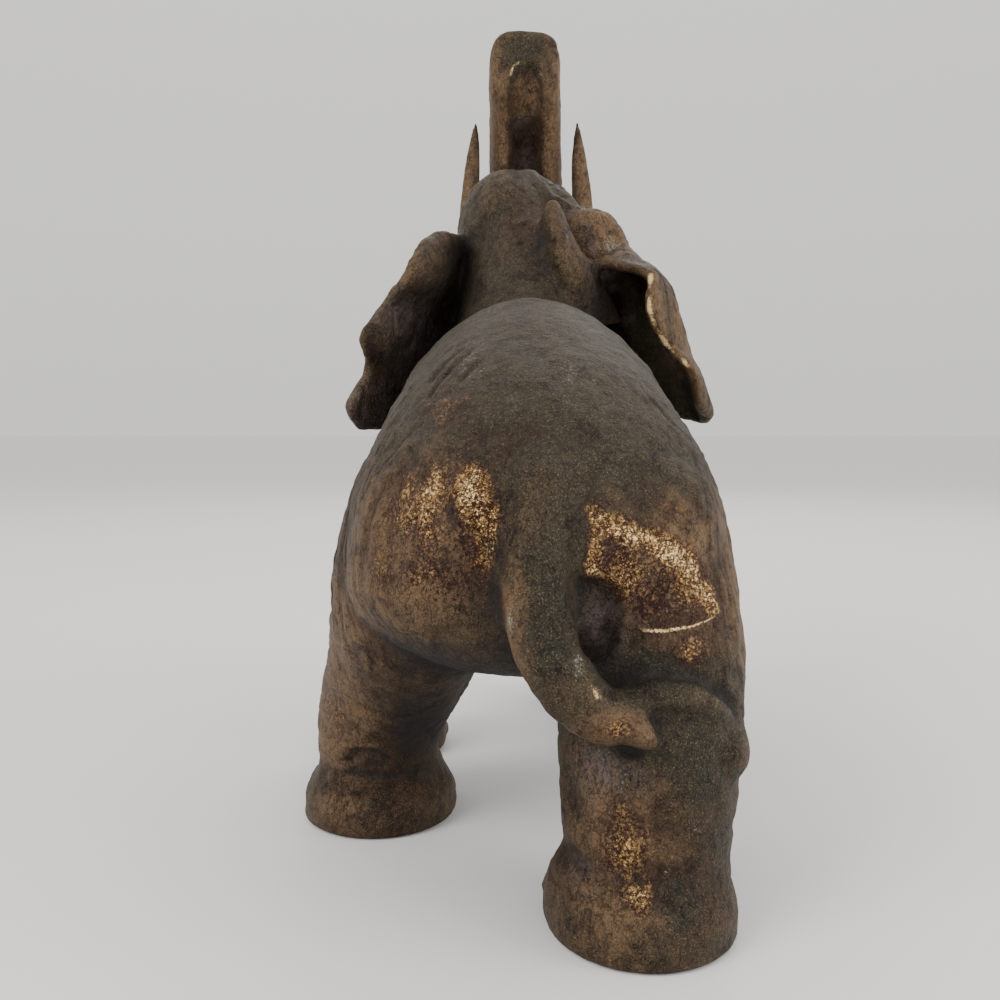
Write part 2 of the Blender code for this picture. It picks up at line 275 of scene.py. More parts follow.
# Where the grains sit in dark pores: centre, radii and strength.
PITTED = [
    ((6.0, 52.4, 46.4), (3.0, 6, 5.6), 1.0),
    ((12.0, 50, 45.5), (4.6, 6, 5.6), 0.5),
    ((9.5, 52, 41.0), (6.0, 6, 3.0), 0.7),
    ((-13.4, 52.2, 39.8), (5.0, 5, 3.4), 1.0),
    ((-9.0, 53, 43.6), (2.8, 5, 3.6), 0.95),
    ((-17.6, 52, 38.6), (3.0, 5, 2.0), 0.6),
    ((-10.6, 56, 12.0), (4.6, 5, 7.0), 0.45),
    ((-17.0, 52, 33.4), (3.0, 5, 1.6), 0.5),
]
# Where the patina is worn thin and warm, and on the lit outer side of the left hind leg also a painted
# highlight: centre, radii and strength.
WARM = [
    # Painted highlight on the lit outer side of the left hind leg, as well as wear
    ((26.5, 24.0, 20.0), (5.5, 14, 15.0), 1.0),
    ((24.0, 36.0, 32.0), (6.0, 12, 8.0), 0.6),
    ((20.0, 42.0, 44.0), (5.0, 9, 14.0), 0.45),
    ((12.5, 48.0, 45.0), (9.0, 8, 9.0), 0.8),
    ((-14.5, 51.0, 42.0), (8.0, 8, 5.6), 0.9),
    ((-17.5, 51.0, 34.2), (4.5, 5, 2.0), 0.7),
    ((-9.4, 55.0, 12.0), (4.5, 6, 8.0), 0.8),
    ((-12.5, 57.0, 6.5), (2.4, 6, 2.4), 0.45),
    ((-24.0, 40.0, 40.0), (3.0, 12, 12.0), 0.8),
    ((26.5, 22.0, 4.6), (4.0, 6, 2.4), 0.45),
    ((2.4, 57.0, 36.0), (2.0, 4, 8.0), 1.3),
    ((-8.6, 58.6, 26.0), (4.6, 4, 2.6), 1.5),
    ((4.6, -42, 114.0), (2.6, 8, 14.0), 0.9),
    ((-8.0, -42, 114.0), (2.6, 8, 14.0), 1.0),
    ((-1.5, -41, 124.0), (2.8, 6, 4.0), 1.3),
    ((11.0, -45.5, 106.0), (1.8, 5, 12.0), 0.8),
    ((-14.0, -45.5, 106.0), (2.0, 5, 12.0), 0.8),
    ((9.4, -22, 88.0), (3.4, 7, 3.0), 1.2),
    ((-8.0, -8, 86.0), (4.0, 6, 8.0), 0.6),
    ((-16.0, -12, 90.0), (6.0, 6, 8.0), 0.7),
    ((-21.5, 1.0, 74.0), (2.6, 3, 9.0), 0.8),
    ((-27.0, 0.5, 66.0), (2.4, 3, 5.0), 0.8),
    ((-26.0, -4.0, 71.0), (3.6, 8, 8.0), 0.95),
    ((19.0, 1.0, 86.0), (2.4, 4, 6.0), 0.4),
    ((22.0, -24.0, 12.0), (7.0, 5, 12.0), 0.6),
    ((-17.0, -54.0, 12.0), (7.0, 5, 12.0), 0.6),
    ((28.0, -14.0, 40.0), (5.0, 10, 12.0), 0.5),
    ((-27.0, -6.0, 42.0), (5.0, 14, 12.0), 0.5),
    ((-1.5, -58.0, 106.0), (5.0, 4, 18.0), 0.6),
    ((0.0, -39.0, 58.0), (10.0, 7, 12.0), 0.5),
]
# Where the patina is brown and not olive: centre, radii and strength.
BROWN = [
    ((20.0, 30.0, 22.0), (14.0, 22, 26.0), 1.0),
    ((-12.0, 48.0, 10.0), (14.0, 14, 14.0), 0.8),
    ((12.0, 45.0, 40.0), (15.0, 12, 14.0), 0.9),
    ((-16.0, 47.0, 42.0), (11.0, 12, 10.0), 0.7),
    ((-10.0, -8.0, 84.0), (12.0, 9, 14.0), 0.9),
    ((20.0, -5.0, 72.0), (8.0, 10, 7.0), 0.9),
    ((-1.5, -46.0, 112.0), (9.0, 12, 18.0), 0.8),
    ((20.0, -20.0, 20.0), (12.0, 14, 24.0), 0.8),
    ((-16.0, -40.0, 20.0), (12.0, 16, 24.0), 0.8),
    ((0.0, -30.0, 45.0), (20.0, 20, 20.0), 0.5),
]
# Where the patina turns green and dark: centre, radii and strength.
GREEN = [
    ((-12.0, 53.5, 31.0), (6.0, 5, 3.0), 0.9),
    ((-18.0, 54.0, 20.6), (4.4, 5, 6.6), 0.8),
    ((-16.0, 57.0, 6.0), (4.0, 6, 5.0), 0.7),
    ((-21.0, 51.0, 12.0), (3.0, 8, 9.0), 0.6),
    ((21.0, 24.0, 4.0), (10.0, 7, 5.0), 0.35),
    ((-1.8, 57.0, 39.0), (3.2, 6, 11.0), 0.8),
    ((-0.5, 47.0, 52.0), (5.0, 9, 8.0), 0.55),
    ((-8.0, 54.0, 31.0), (4.0, 5, 4.0), 0.6),
]
# Where grime has settled, and where painted shade darkens the recesses, the belly, the feet by the floor and
# the inner side of the left hind leg: centre, radii and strength.
DIRT_AND_SHADE = [
    ((-6.0, 51, 38.4), (3.0, 7, 3.4), 0.3),
    ((-9.4, 52.5, 31.4), (2.6, 6, 3.0), 0.5),
    ((-1.5, -46, 112.0), (2.4, 7, 5.0), 0.25),
    ((9.5, -13, 84), (3.6, 8, 8), 0.3),
    ((14.0, -12, 73), (4.0, 9, 8), 0.25),
    ((-13.0, -11, 77), (5.0, 7, 5), 0.25),
    ((-20.0, -10, 66), (4.0, 8, 6), 0.35),
    ((29.0, -3, 58), (4.0, 7, 2), 0.4),
    ((-1.0, -12, 80), (7.0, 9, 7), 0.38),
    ((-6.2, -10, 91), (2.2, 9, 8), 0.75),
    ((-11.0, -10, 81), (7.0, 7, 3), 0.3),
    ((10, 40, 30), (8, 10, 6), 0.6),
    ((15.0, 22, 22), (5.0, 9, 14), 0.95),
    ((2, 51, 32), (4, 5, 5), 0.5),
    ((-19.0, 56, 10), (4.0, 6, 11), 0.3),
    ((-16.0, 56, 22), (5.0, 6, 4), 0.3),
    ((4.5, 50, 40), (2.5, 6, 7), 0.45),
    ((22, 14, 3.0), (16, 16, 5.0), 0.42),
    ((-13, 46, 3.0), (16, 16, 5.0), 0.36),
    ((22.0, 24.5, 10.6), (4.0, 4, 2.6), 0.5),
]
# Places where the darkening of the hollows and the painted shade is partly taken back, lightening them:
# centre, radii and share taken off.
SHADE_LIFTED = [
    ((-6.5, 51, 36.0), (5.5, 8, 7.0), 0.75),
    ((-1.5, -46, 114.0), (4.5, 9, 12.0), 0.95),
    ((-18.0, -9, 77.0), (9.0, 9, 11.0), 0.95),
    ((15.0, -10, 80.0), (6.0, 9, 11.0), 0.45),
]
# Where the patina turns to a dull plum grey, which also paints fill light into the sheltered recesses of the
# rear-facing skin: centre, radii and strength.
PLUM = [
    ((19.0, -9, 76), (9.0, 10, 15), 1.0),
    ((26.0, -6, 61), (7.0, 9, 6), 1.0),
    ((-13.0, -10, 78), (7.0, 9, 9), 1.0),
    ((-24.0, -8, 64), (7.0, 9, 6), 0.4),
    ((-8.0, 54, 19.0), (4.5, 6, 4), 0.8),
    ((-6.0, 53, 8.0), (5.0, 8, 4), 0.5),
    ((-7.5, 51, 35.0), (3.5, 7, 6), 0.9),
    ((-14.5, -12.0, 89.0), (6.0, 5, 7), 0.9),
    ((-1.5, -42.0, 120.0), (2.6, 7, 6), 0.8),
    ((-1.5, -47.0, 111.0), (2.6, 8, 6), 0.9),
]
# Rubbed bands: path, half width, strength.
BANDS = [
    (
        [
            (-7.0, 53, 47.6),
            (-10, 52.2, 46.4),
            (-13.5, 51.4, 44.8),
            (-16.8, 50.4, 42.6),
            (-19, 49.4, 40),
            (-20, 49, 37.6),
        ],
        1.7,
        0.95,
    ),
    ([(-6.4, 53.2, 49), (-6.8, 53.3, 46), (-6.4, 53.2, 42.5)], 1.2, 0.9),
]
# Painted highlights along edges, partly bright worn edges: path, half width, strength.
GLINTS = [
    (
        [(-20.4, 0, 82), (-19.8, 2.3, 77), (-21.2, 1.1, 73.6), (-23.8, -0.3, 70.6), (-26.8, 1.9, 67.4)],
        0.8,
        0.5,
    ),
    ([(-2.6, 57.5, 35.5), (-4.2, 58, 32.6), (-6.6, 58.6, 29.8)], 0.6, 0.45),
    # Painted highlights round the top of the trunk's mouth
    ([(-4.5, -37.2, 126.6), (-3.4, -37.0, 128.8), (-1.5, -36.9, 129.5)], 0.5, 0.35),
    ([(1.5, -37.2, 126.6), (0.4, -37.0, 128.8), (-1.5, -36.9, 129.5)], 0.5, 0.35),
]
# Where chalky dust has stuck: centre, radii and strength.
CHALK = [
    ((-17.4, 55.6, 15.0), (1.5, 3, 1.4), 1.0),
    ((-14.4, 56.4, 10.0), (0.8, 2, 0.8), 0.9),
    ((-9.8, 55.2, 20.0), (1.0, 2, 3.0), 0.8),
    ((-6.0, 52.0, 24.5), (3.0, 5, 1.2), 0.6),
    ((1.6, 58.0, 31.0), (1.0, 3, 4.0), 0.4),
    ((-4.6, 57.5, 32.4), (1.3, 3, 3.6), 0.85),
    ((-7.0, 57.5, 28.6), (1.3, 3, 1.8), 0.7),
    ((2.4, 57.0, 37.6), (0.9, 3, 3.2), 0.8),
    ((-8.0, 53.0, 50.5), (2.0, 4, 2.0), 0.5),
    ((-6.0, 12.0, 70.5), (3.2, 14, 7.0), 0.95),
    ((6.5, 36.0, 64.0), (3.6, 9, 5.0), 0.95),
    ((-5.7, 38.0, 62.0), (4.4, 9, 5.0), 0.95),
    ((24.0, 24.0, 8.5), (2.0, 3, 1.6), 0.3),
    ((-14.5, -10.0, 88.0), (4.0, 4, 5.0), 0.8),
]


class WaxSettings(bpy.types.PropertyGroup):
    """Sizes of the modelling"""

    grain: FloatProperty(
        name="Grain", description="Face size of the worked skin", default=0.43 * MM, unit="LENGTH"
    )
    triangles: IntProperty(
        name="Triangles", description="Most triangles that the casting keeps", default=190000
    )
    lump_depth: FloatProperty(
        name="Lump Depth", description="Unevenness of the modelled masses", default=0.2 * MM, unit="LENGTH"
    )
    wrinkle_depth: FloatProperty(
        name="Wrinkle Depth", description="Depth of the skin's wrinkles", default=0.16 * MM, unit="LENGTH"
    )
    ring_depth: FloatProperty(
        name="Ring Depth", description="Depth of the rings round the trunk", default=0.32 * MM, unit="LENGTH"
    )
    ring_spacing: FloatProperty(
        name="Ring Spacing", description="Distance between the trunk's rings", default=2.6 * MM, unit="LENGTH"
    )
    eye_radius: FloatProperty(
        name="Eye Radius", description="Radius of the eyeball", default=1.35 * MM, unit="LENGTH"
    )
    nail_radius: FloatProperty(
        name="Nail Radius", description="Half the width of a toenail", default=2.1 * MM, unit="LENGTH"
    )


def colour_property(name, description, colour):
    return FloatVectorProperty(
        name=name, description=description, default=(*colour, 1.0), size=4, subtype="COLOR", min=0, max=1
    )


class PatinaSettings(bpy.types.PropertyGroup):
    """Colours of the metal and its patina"""

    olive: colour_property("Olive", "Patina of the back", (0.048, 0.039, 0.024))
    umber: colour_property("Umber", "Brown patina of the legs and sides", (0.058, 0.033, 0.018))
    bronze: colour_property("Bronze", "Patina worn thin and warm", (0.16, 0.098, 0.052))
    # Lighter than the patina round it, so it also paints fill light into the sheltered recesses
    plum: colour_property("Plum", "Dull purplish patina of the sheltered skin", (0.125, 0.098, 0.094))
    green: colour_property("Green", "Dark green patina of the damp corners", (0.034, 0.031, 0.02))
    # Also the colour of the painted shade under the body, in the recesses and on the shaded side of the left
    # hind leg
    hollow: colour_property("Hollow", "Dirt in the hollows", (0.009, 0.006, 0.005))
    gold: colour_property("Gold", "Metal rubbed bare", (0.31, 0.18, 0.07))
    # Also the colour of the painted highlights along edges and along the right buttock's lip
    bright: colour_property("Bright", "Freshest bare metal", (0.88, 0.64, 0.33))
    maroon: colour_property("Maroon", "Old patina left in the pores of the bare metal", (0.03, 0.011, 0.01))
    speck: colour_property("Speck", "Crumbs of bare metal all over the skin", (0.24, 0.18, 0.105))
    chalk: colour_property("Chalk", "Dust caught in the skin", (0.3, 0.28, 0.23))


class StageSettings(bpy.types.PropertyGroup):
    """Light and lens"""

    key_power: FloatProperty(
        name="Key Power", description="Power of the light on the left", default=2.8, unit="POWER"
    )
    rim_power: FloatProperty(
        name="Rim Power", description="Power of the light in front", default=1.3, unit="POWER"
    )
    wall_power: FloatProperty(
        name="Wall Power", description="Power of the light on the right", default=2.1, unit="POWER"
    )
    room_light: FloatProperty(name="Room Light", description="Brightness at the horizon", default=0.92)
    sky_light: FloatProperty(name="Sky Light", description="Brightness overhead", default=1.25)
    lens: FloatProperty(
        name="Lens", description="Focal length of the camera in mm", default=34.56, unit="CAMERA"
    )


# Tools for handling meshes


def millimetres(mesh):
    flat = np.empty(len(mesh.vertices) * 3, np.float32)
    mesh.vertices.foreach_get("co", flat)
    return flat.reshape(-1, 3).astype(float) / MM


def normals_of(mesh):
    flat = np.empty(len(mesh.vertices) * 3, np.float32)
    mesh.vertices.foreach_get("normal", flat)
    return flat.reshape(-1, 3).astype(float)


def move_vertices(mesh, points):
    mesh.vertices.foreach_set("co", (points * MM).astype(np.float32).ravel())
    mesh.update()


def edge_list(mesh):
    flat = np.empty(len(mesh.edges) * 2, np.int32)
    mesh.edges.foreach_get("vertices", flat)
    return flat.reshape(-1, 2)


def averaged(values, edges, rounds):
    """Values at the vertices, blurred over the surface by averaging neighbours."""
    count = len(values)
    degree = np.bincount(edges.ravel(), minlength=count) + 1.0
    columns = values.reshape(count, -1).T.copy()
    for _ in range(rounds):
        for i, column in enumerate(columns):
            total = column.copy()
            total += np.bincount(edges[:, 0], column[edges[:, 1]], count)
            total += np.bincount(edges[:, 1], column[edges[:, 0]], count)
            columns[i] = total / degree
    return columns.T.reshape(values.shape)


def deselect():
    bpy.ops.object.select_all(action="DESELECT")


def activate(obj):
    deselect()
    obj.select_set(True)
    bpy.context.view_layer.objects.active = obj


def apply_modifier(obj, kind, **settings):
    activate(obj)
    modifier = obj.modifiers.new(kind.lower(), kind)
    for key, value in settings.items():
        setattr(modifier, key, value)
    bpy.ops.object.modifier_apply(modifier=modifier.name)


# Noise and distances

# How far from 0 the noise still counts as a crease.
CREASE_WIDTH = 0.16


def noise(points, size, seed):
    """Smooth noise from -1 to 1 whose lumps are about size millimetres across."""
    scaled = points / size
    cell = np.floor(scaled).astype(np.int64)
    part = scaled - cell
    ease = part**3 * (part * (part * 6 - 15) + 10)
    total = np.zeros(len(points))
    for corner in np.ndindex(2, 2, 2):
        key = cell + corner
        mixed = key[:, 0] * 73856093 ^ key[:, 1] * 19349663 ^ key[:, 2] * 83492791 ^ seed * 2654435761
        mixed = (mixed ^ mixed >> 13) * 1274126177 & 0xFFFFFFFF
        mixed = (mixed ^ mixed >> 16) * 668265263 & 0xFFFFFFFF
        weight = np.prod(np.where(corner, ease, 1 - ease), axis=1)
        total += weight * (mixed / 2**31 - 1)
    return total


def creases(points, size, seed):
    """Narrow lines, 1 along their middle, where noise changes sign."""
    return np.exp(-((noise(points, size, seed) / CREASE_WIDTH) ** 2))


def spline(stations, steps=6):
    """A smooth path through the stations, with so many steps from each to the next."""
    rows = np.array(stations, float)
    rows = np.vstack([2 * rows[0] - rows[1], rows, 2 * rows[-1] - rows[-2]])
    smooth = [
        b
        + 0.5 * t * (c - a)
        + t * t * (a - 2.5 * b + 2 * c - 0.5 * d)
        + t**3 * (1.5 * (b - c) + 0.5 * (d - a))
        for a, b, c, d in zip(rows, rows[1:], rows[2:], rows[3:])
        for t in np.arange(steps) / steps
    ]
    return np.array(smooth + [rows[-2]])


def along(points, stations):
    """Distance of each point from a path, and how far along the path its nearest spot lies."""
    path = spline(stations)
    nearest = np.full(len(points), np.inf)
    travelled = np.zeros(len(points))
    start = 0.0
    for a, b in zip(path, path[1:]):
        step = b - a
        length = np.linalg.norm(step)
        part = np.clip((points - a) @ step / length**2, 0, 1)
        gap = np.linalg.norm(points - a - part[:, None] * step, axis=1)
        closer = gap < nearest
        nearest[closer] = gap[closer]
        travelled[closer] = start + part[closer] * length
        start += length
    return nearest, travelled


def smoothstep(low, high, values):
    """0 up to low, 1 from high on and smooth between, whichever of the two is greater."""
    part = np.clip((values - low) / (high - low), 0, 1)
    return part * part * (3 - 2 * part)


def patches(points, blobs):
    """The strongest of a set of soft blobs at each point."""
    strongest = np.zeros(len(points))
    for centre, radii, strength in blobs:
        far = (((points - centre) / radii) ** 2).sum(axis=1)
        strongest = np.maximum(strongest, strength * np.exp(-far))
    return strongest


def bands(points, paths):
    """The strongest of a set of soft bands at each point."""
    strongest = np.zeros(len(points))
    for path, width, strength in paths:
        gap, _ = along(points, path)
        strongest = np.maximum(strongest, strength * np.exp(-((gap / width) ** 2)))
    return strongest


# Wax

# Where each region of the skin begins and where it is full: the legs, torso and head by height,
# the flanks by the distance from the middle plane.
LEGS = (34, 22)
ABOVE_LEGS = (20, 34)
BELOW_NECK = (92, 80)
HEAD = (80, 90)
FLANKS = (9, 18)
# The same for the trunk, by the distance from its middle line and by the way along it.
TRUNK_EDGE = (13, 9)
TRUNK_ROOT = (2, 8)
# Distances from the middle line of the tail and of the tusks past which the work on the skin
# round them is full.
TAIL_SPARED = (3.9, 4.8)
TAIL_UNWORN = (3.6, 4.8)
TUSKS_SPARED = (2.6, 4.0)
# Toenails: degrees from one to the next, share that each step outwards takes off, depth of
# their middle in the foot's face, its height above the ground, and their tilt.
NAIL_STEP = 33
NAIL_SHRINK = 0.12
NAIL_DEPTH = 0.25
NAIL_HEIGHT = 2.3
NAIL_TILT = math.radians(-8)
# How far from a dent's centre its rim lies, in radii.
DENT_RIM = 1.15
# Rounds of averaging that wipe out the small forms of the skin, and the large ones.
SMALL_FORMS = 6
LARGE_FORMS = 60


def casting_blank():
    """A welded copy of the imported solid."""
    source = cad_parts[NODE]
    blank = bpy.data.objects.new(CASTING, source.data.copy())
    bpy.context.scene.collection.objects.link(blank)
    blank.data.materials.clear()
    activate(blank)
    bpy.ops.object.mode_set(mode="EDIT")
    bpy.ops.mesh.select_all(action="SELECT")
    bpy.ops.mesh.remove_doubles(threshold=MM / 1000)
    bpy.ops.object.mode_set(mode="OBJECT")
    return blank


def pellet(centre, radii, turn=0.0, tilt=0.0):
    """A ball of wax pressed into an ellipsoid."""
    deselect()
    bpy.ops.mesh.primitive_uv_sphere_add(
        segments=24, ring_count=14, radius=1, location=Vector(centre) * MM, rotation=(tilt, 0, turn)
    )
    ball = bpy.context.active_object
    ball.scale = Vector(radii) * MM
    bpy.ops.object.transform_apply(location=True, rotation=True, scale=True)
    return ball


def roll(stations, radius):
    """A roll of wax, tapered at both ends."""
    deselect()
    curve = bpy.data.curves.new("roll", "CURVE")
    curve.dimensions = "3D"
    curve.bevel_depth = radius * MM
    curve.bevel_resolution = 3
    curve.use_fill_caps = True
    path = spline(stations)
    line = curve.splines.new("POLY")
    line.points.add(len(path) - 1)
    for i, (point, spot) in enumerate(zip(line.points, path)):
        point.co = (*(spot * MM), 1)
        point.radius = 0.35 + 0.65 * math.sin(math.pi * i / (len(path) - 1)) ** 0.6
    made = bpy.data.objects.new("roll", curve)
    bpy.context.scene.collection.objects.link(made)
    activate(made)
    bpy.ops.object.convert(target="MESH")
    return bpy.context.active_object


def toenails(radius):
    """Five nails round the front of each foot, the outer ones smaller."""
    made = []
    for (x, y), foot in FEET.values():
        for i in range(-2, 3):
            turn = math.radians(NAIL_STEP * i)
            size = radius * (1 - NAIL_SHRINK * abs(i))
            reach = foot - NAIL_DEPTH
            centre = (x + reach * math.sin(turn), y - reach * math.cos(turn), NAIL_HEIGHT)
            made.append(pellet(centre, (size, 0.9, size * 1.05), turn=turn, tilt=NAIL_TILT))
    return made


def eyes(radius):
    """Eyeballs between almond lids."""
    made = []
    for side, (x, y, z) in EYES.items():
        out = 1 if side == "left" else -1
        made.append(pellet((x + 0.6 * out, y, z), (radius, radius * 1.1, radius)))
        for lift in (-1, 1):
            lid = [
                (x - 0.2 * out, y + 2.6, z - 0.3),
                (x + 0.55 * out, y + 1.2, z + lift * 1.15),
                (x + 0.8 * out, y - 0.6, z + lift * 1.25),
                (x - 0.1 * out, y - 2.8, z + 0.2),
            ]
            made.append(roll(lid, 0.5))
    return made


def melt(blank, extras, grain, rounds):
    """Joins the added wax to the blank as one fine, even skin and smooths the joins."""
    activate(blank)
    for extra in extras:
        extra.select_set(True)
    bpy.ops.object.join()
    apply_modifier(blank, "REMESH", mode="VOXEL", voxel_size=grain, use_smooth_shade=True)
    apply_modifier(blank, "SMOOTH", factor=0.5, iterations=rounds)


def inside_trunk(points):
    """How far in the trunk each point lies, from 0 to 1, and how far along it."""
    gap, travelled = along(points, TRUNK_LINE)
    return smoothstep(*TRUNK_EDGE, gap) * smoothstep(*TRUNK_ROOT, travelled), travelled


def relief(points, normals, wax):
    """How far each point moves out along its normal, in millimetres."""
    height = wax.lump_depth / MM * (noise(points, 8.5, 1) + 0.5 * noise(points, 4.2, 2))
    wrinkle = wax.wrinkle_depth / MM

    # Rings round the front of the trunk
    trunk, travelled = inside_trunk(points)
    spacing = wax.ring_spacing / MM
    rear = smoothstep(-0.55, -0.05, normals[:, 1])
    wobble = 1.1 * noise(points, 5.0, 5)
    rings = 0.5 + 0.5 * np.cos(2 * math.pi * (travelled + wobble) / spacing)
    height -= wax.ring_depth / MM * trunk * (1 - rear) * rings**3

    # Upright wrinkles on the flanks and fine ones on the back
    z = points[:, 2]
    side = smoothstep(*FLANKS, np.abs(points[:, 0]))
    torso = (1 - trunk) * smoothstep(*ABOVE_LEGS, z) * smoothstep(*BELOW_NECK, z)
    upright = creases(points * (1, 1, 0.24), 3.1, 11) + 0.6 * creases(points * (1, 1, 0.3), 1.9, 12)
    height -= wrinkle * 1.3 * torso * side * upright
    fine = creases(points * (0.8, 0.8, 1), 1.7, 13)
    height -= wrinkle * 0.35 * (1 - side) * torso * fine

    # Level wrinkles round the legs, down to the feet
    legs = smoothstep(*LEGS, z)
    level = creases(points * (0.3, 0.3, 1) + 0.25 * noise(points, 4, 15)[:, None], 2.5, 14)
    height -= wrinkle * 1.35 * legs * smoothstep(3, 7, z) * level

    # Wrinkles in every direction on the head
    head = smoothstep(*HEAD, z) * (1 - trunk)
    height -= wrinkle * 1.1 * head * creases(points, 2.7, 16)

    # Combed flanks and curled lumps
    combed = noise(points * (1, 1, 0.2), 1.5, 19)
    height += 0.09 * torso * side * combed
    curled = patches(points, CURLED)
    height += curled * (0.32 * noise(points, 1.9, 20) + 0.2 * noise(points, 1.1, 24))

    # Grain of the wax, and tusks smoother than the rest
    height += 0.09 * noise(points, 1.5, 17) + 0.05 * noise(points, 0.9, 18)
    tusks = np.minimum(*(along(points, line)[0] for line in TUSK_LINES))
    return height * (0.15 + 0.85 * smoothstep(*TUSKS_SPARED, tusks))


def strokes(points, height):
    """Cuts the tool's strokes into the height."""
    for path, width, depth in STROKES.values():
        gap, _ = along(points, path)
        height -= depth * np.exp(-((gap / width) ** 2)) * (1 + 0.5 * noise(points, 1.6, 22))
    return height


def cuts(points):
    """How deep in a stroke of the tool each point lies, from 0 to 1."""
    deepest = np.zeros(len(points))
    for path, width, depth in STROKES.values():
        gap, _ = along(points, path)
        deepest = np.maximum(deepest, min(2 * depth, 1) * np.exp(-((gap / width) ** 2)))
    return deepest


def dent_masks(points):
    """How much of each dent's push each point takes."""
    tail, _ = along(points, TAIL_LINE)
    off_tail = smoothstep(*TAIL_SPARED, tail)
    for centre, radii, push, sheer in DENTS.values():
        far = (np.abs((points - centre) / radii) ** 2.4).sum(axis=1) + 0.2 * noise(points, 2.4, 23)
        yield smoothstep(DENT_RIM, sheer, far) * off_tail, np.array(push)


def carve(mesh, wax):
    """Moves the skin's points by the relief, the strokes and the dents."""
    points, normals = millimetres(mesh), normals_of(mesh)
    height = strokes(points, relief(points, normals, wax))
    sole = smoothstep(0.2, 1.6, points[:, 2])
    shaped = points + normals * (height * sole)[:, None]
    for mask, push in dent_masks(points):
        shaped += (mask * (1 + 0.12 * noise(points, 1.4, 21)))[:, None] * push
    shaped[:, 2] = np.maximum(shaped[:, 2], 0)
    move_vertices(mesh, shaped)


def thin_out(obj, most):
    """Merges faces until at most that many triangles are left."""
    obj.data.calc_loop_triangles()
    ratio = most / len(obj.data.loop_triangles)
    if ratio < 1:
        apply_modifier(obj, "DECIMATE", ratio=ratio)


def paint_attribute(mesh, name, values):
    layer = mesh.attributes.new(name, "FLOAT", "POINT")
    layer.data.foreach_set("value", np.clip(values, 0, 1).astype(np.float32))


def wear(mesh):
    """Paints where the metal is rubbed, pitted, darkened in its hollows, grimy, brown, green, plum and dusty,
    and where painted shade, painted highlights and painted fill light go.
    """
    points, normals, edges = millimetres(mesh), normals_of(mesh), edge_list(mesh)
    fine = ((points - averaged(points, edges, SMALL_FORMS)) * normals).sum(axis=1)
    broad = ((points - averaged(points, edges, LARGE_FORMS)) * normals).sum(axis=1)
    crest = smoothstep(0.01, 0.09, fine) * 0.5 + smoothstep(0.15, 0.9, broad) * 0.5
    hollow = smoothstep(0.02, 0.14, -fine) * 0.35 + smoothstep(0.15, 1.3, -broad) * 0.75
    # Painted shade: skin that faces down is darkened, as under the body
    hollow += 0.4 * smoothstep(-0.35, -0.95, normals[:, 2])
    hollow *= 1 - patches(points, SHADE_LIFTED)
    ragged = 1 + 0.35 * noise(points, 3.2, 31) + 0.25 * noise(points, 1.4, 32)
    tail, _ = along(points, TAIL_LINE)
    off_tail = 0.35 + 0.65 * smoothstep(*TAIL_UNWORN, tail)
    # Skin facing +Y, the rear: the only skin that takes the plum grey with its painted fill light
    rearward = smoothstep(-0.1, 0.35, normals[:, 1])
    painted = {
        "rubbed": np.maximum(patches(points, RUBBED), bands(points, BANDS)) * ragged * off_tail,
        # Painted highlights, partly bright worn edges, along the GLINTS paths
        "glint": bands(points, GLINTS) * ragged,
        # Plum-grey patina and painted fill light in the sheltered recesses
        "plum": patches(points, PLUM) * ragged * rearward,
        "pitted": patches(points, PITTED) * ragged,
        # Worn, warm patina, and a painted highlight on the left hind leg's lit side
        "warm": patches(points, WARM) * (0.75 + 0.25 * ragged) * off_tail,
        "crest": averaged(crest, edges, 1),
        "hollow": averaged(hollow, edges, 3),
        # Grime and painted shade from these patches, and darkening along the tool's strokes, which also
        # paints the shadow under the tail's tip
        "dirt": np.maximum(patches(points, DIRT_AND_SHADE) * (0.8 + 0.2 * ragged), 0.8 * cuts(points)),
        "brown": patches(points, BROWN) * off_tail + 0.25 * noise(points, 9, 33),
        "green": patches(points, GREEN) * ragged,
        "chalk": patches(points, CHALK) * ragged,
    }
    for name, values in painted.items():
        paint_attribute(mesh, name, values)


class ELEPHANT_OT_casting(bpy.types.Operator):
    """Model the elephant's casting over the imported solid"""

    bl_idname = "elephant.casting"
    bl_label = "Casting"

    def execute(self, context):
        wax = context.scene.elephant_wax
        blank = casting_blank()
        masses = [pellet(*sizes) for sizes in PELLETS.values()]
        masses += [roll(*sizes) for sizes in ROLLS.values()]
        masses += toenails(wax.nail_radius / MM)
        melt(blank, masses, wax.grain, JOIN_ROUNDS)
        melt(blank, eyes(wax.eye_radius / MM), wax.grain, LID_ROUNDS)
        carve(blank.data, wax)
        thin_out(blank, wax.triangles)
        wear(blank.data)
        bpy.ops.object.shade_smooth()
        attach(blank, "root")
        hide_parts(NODE)
        return {"FINISHED"}


# Patina


class Flow:
    """A value flowing between shader nodes, so that shader maths reads as plain expressions."""

    def __init__(self, shader, socket):
        self.shader = shader
        self.socket = socket

    def math(self, operation, a, b):
        return self.shader.node("Math", {"operation": operation}, {0: a, 1: b})

    def __add__(self, other):
        return self.math("ADD", self, other)

    def __sub__(self, other):
        return self.math("SUBTRACT", self, other)

    def __rsub__(self, other):
        return self.math("SUBTRACT", other, self)

    def __mul__(self, other):
        return self.math("MULTIPLY", self, other)

    __radd__ = __add__
    __rmul__ = __mul__

    def spread(self):
        """How far the value lies from 0, either way."""
        return self.math("ABSOLUTE", self, 0.0)

    def ramp(self, low, high):
        """0 below low, 1 above high, smooth between."""
        settings = {"interpolation_type": "SMOOTHSTEP"}
        inputs = {"Value": self, "From Min": low, "From Max": high}
        return self.shader.node("MapRange", settings, inputs)


